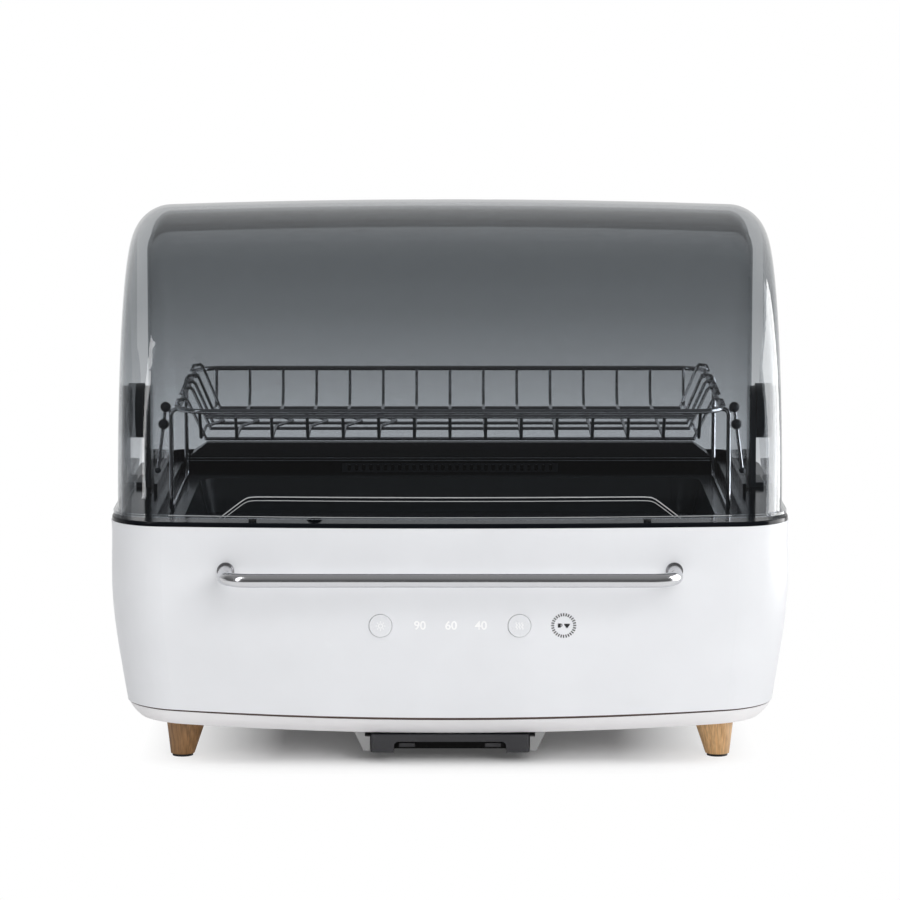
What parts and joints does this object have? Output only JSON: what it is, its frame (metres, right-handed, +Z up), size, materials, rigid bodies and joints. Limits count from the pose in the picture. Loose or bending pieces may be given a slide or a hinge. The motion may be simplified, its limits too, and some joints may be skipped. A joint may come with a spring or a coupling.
{
  "type": "dish sterilizer cabinet",
  "caption": "Counter-top dish steriliser and dryer: white crowned base on wooden feet, tilting smoked hood, chrome wire rack, towel rail and slide-out drip tray.",
  "frame": {"origin": "on the counter below the middle of the whole object, towel rail included", "axes": "+X to the right in a front view, +Y to the back, +Z up; the front faces -Y"},
  "size_m": [0.52, 0.4424, 0.418],
  "materials": {
    "casing": "satin",
    "trim": "satin",
    "pan": "matte",
    "screws": "satin",
    "oak": "oiled",
    "rubber": "matte",
    "black_gloss": "gloss",
    "basin_black": "satin",
    "dark_plastic": "matte",
    "lamp_glass": "clear",
    "motor_steel": "satin",
    "heater_metal": "satin",
    "grey_plastic": "matte",
    "board": "matte",
    "light_plastic": "frosted",
    "brushed": "brushed",
    "smoked": "clear smoked",
    "pin_steel": "polished",
    "chrome_wire": "polished",
    "tray_grey": "satin",
    "button_white": "satin"
  },
  "bodies": {
    "base": {"body_shell": "casing", "seam_trim": "trim", "bottom_pan": "pan", "pan_screws": "screws", "foot_front_left": "oak", "foot_front_right": "oak", "foot_rear_left": "oak", "foot_rear_right": "oak", "foot_pads": "rubber", "foot_bolts": "screws", "rim_frame": "black_gloss", "basin": "basin_black", "drain_spout": "dark_plastic", "duct_housing": "basin_black", "lamp_window": "lamp_glass", "outlet_grille": "dark_plastic", "uv_lamp": "lamp_glass", "lamp_holders": "dark_plastic", "fan_housing": "dark_plastic", "fan_motor": "motor_steel", "heater_frame": "heater_metal", "heater_core": "heater_metal", "thermostat": "dark_plastic", "intake_grille": "grey_plastic", "cord_gland": "rubber", "power_board": "board", "power_parts": "dark_plastic", "control_board": "board", "tact_switches": "dark_plastic", "light_guide": "light_plastic", "tray_rail_left": "grey_plastic", "tray_rail_right": "grey_plastic", "towel_rail": "brushed", "rail_collars": "brushed", "rail_nuts": "screws", "lid_switch_body": "dark_plastic", "rear_cover": "smoked", "hinge_post_left": "dark_plastic", "hinge_post_right": "dark_plastic", "hinge_pin_left": "pin_steel", "hinge_pin_right": "pin_steel", "lid_bumpers": "rubber", "rack_frame_left": "chrome_wire", "rack_frame_right": "chrome_wire", "rack_balls": "dark_plastic"},
    "lid": {"front_lid": "smoked", "hinge_disc_left": "dark_plastic", "hinge_disc_right": "dark_plastic"},
    "drip_tray": {"drip_tray": "tray_grey"},
    "fan": {"impeller": "dark_plastic", "fan_shaft": "pin_steel"},
    "sterilise_button": {"sterilise_button": "button_white"},
    "dry_button": {"dry_button": "button_white"},
    "lid_switch": {"lid_switch_plunger": "black_gloss"},
    "rack": {"rack_rim": "chrome_wire", "rack_front_rail": "chrome_wire", "rack_cross_wires": "chrome_wire", "rack_long_wires": "chrome_wire"}
  },
  "joints": [
    {"name": "lid_hinge", "type": "hinge", "parent": "base", "child": "lid", "pos_m": [0, 0.052, 0.248], "axis": [-1, 0, 0], "range_deg": [0, 80]},
    {"name": "drip_tray_slide", "type": "slide", "parent": "base", "child": "drip_tray", "axis": [0, -1, 0], "range_m": [0, 0.11]},
    {"name": "fan_spin", "type": "hinge", "parent": "base", "child": "fan", "pos_m": [0, 0.178, 0.096], "axis": [0, 1, 0], "continuous": true},
    {"name": "sterilise_button_press", "type": "slide", "parent": "base", "child": "sterilise_button", "axis": [0, 1, 0], "range_m": [0, 0.0012], "stiffness_N_per_m": 400, "springref_m": -0.001},
    {"name": "dry_button_press", "type": "slide", "parent": "base", "child": "dry_button", "axis": [0, 1, 0], "range_m": [0, 0.0012], "stiffness_N_per_m": 400, "springref_m": -0.001},
    {"name": "lid_switch_press", "type": "slide", "parent": "base", "child": "lid_switch", "axis": [0, 0, -1], "range_m": [0, 0.0025], "stiffness_N_per_m": 200, "springref_m": -0.002},
    {"name": "rack_lift", "type": "slide", "parent": "base", "child": "rack", "axis": [0, 0, 1], "range_m": [0, 0.045]}
  ]
}
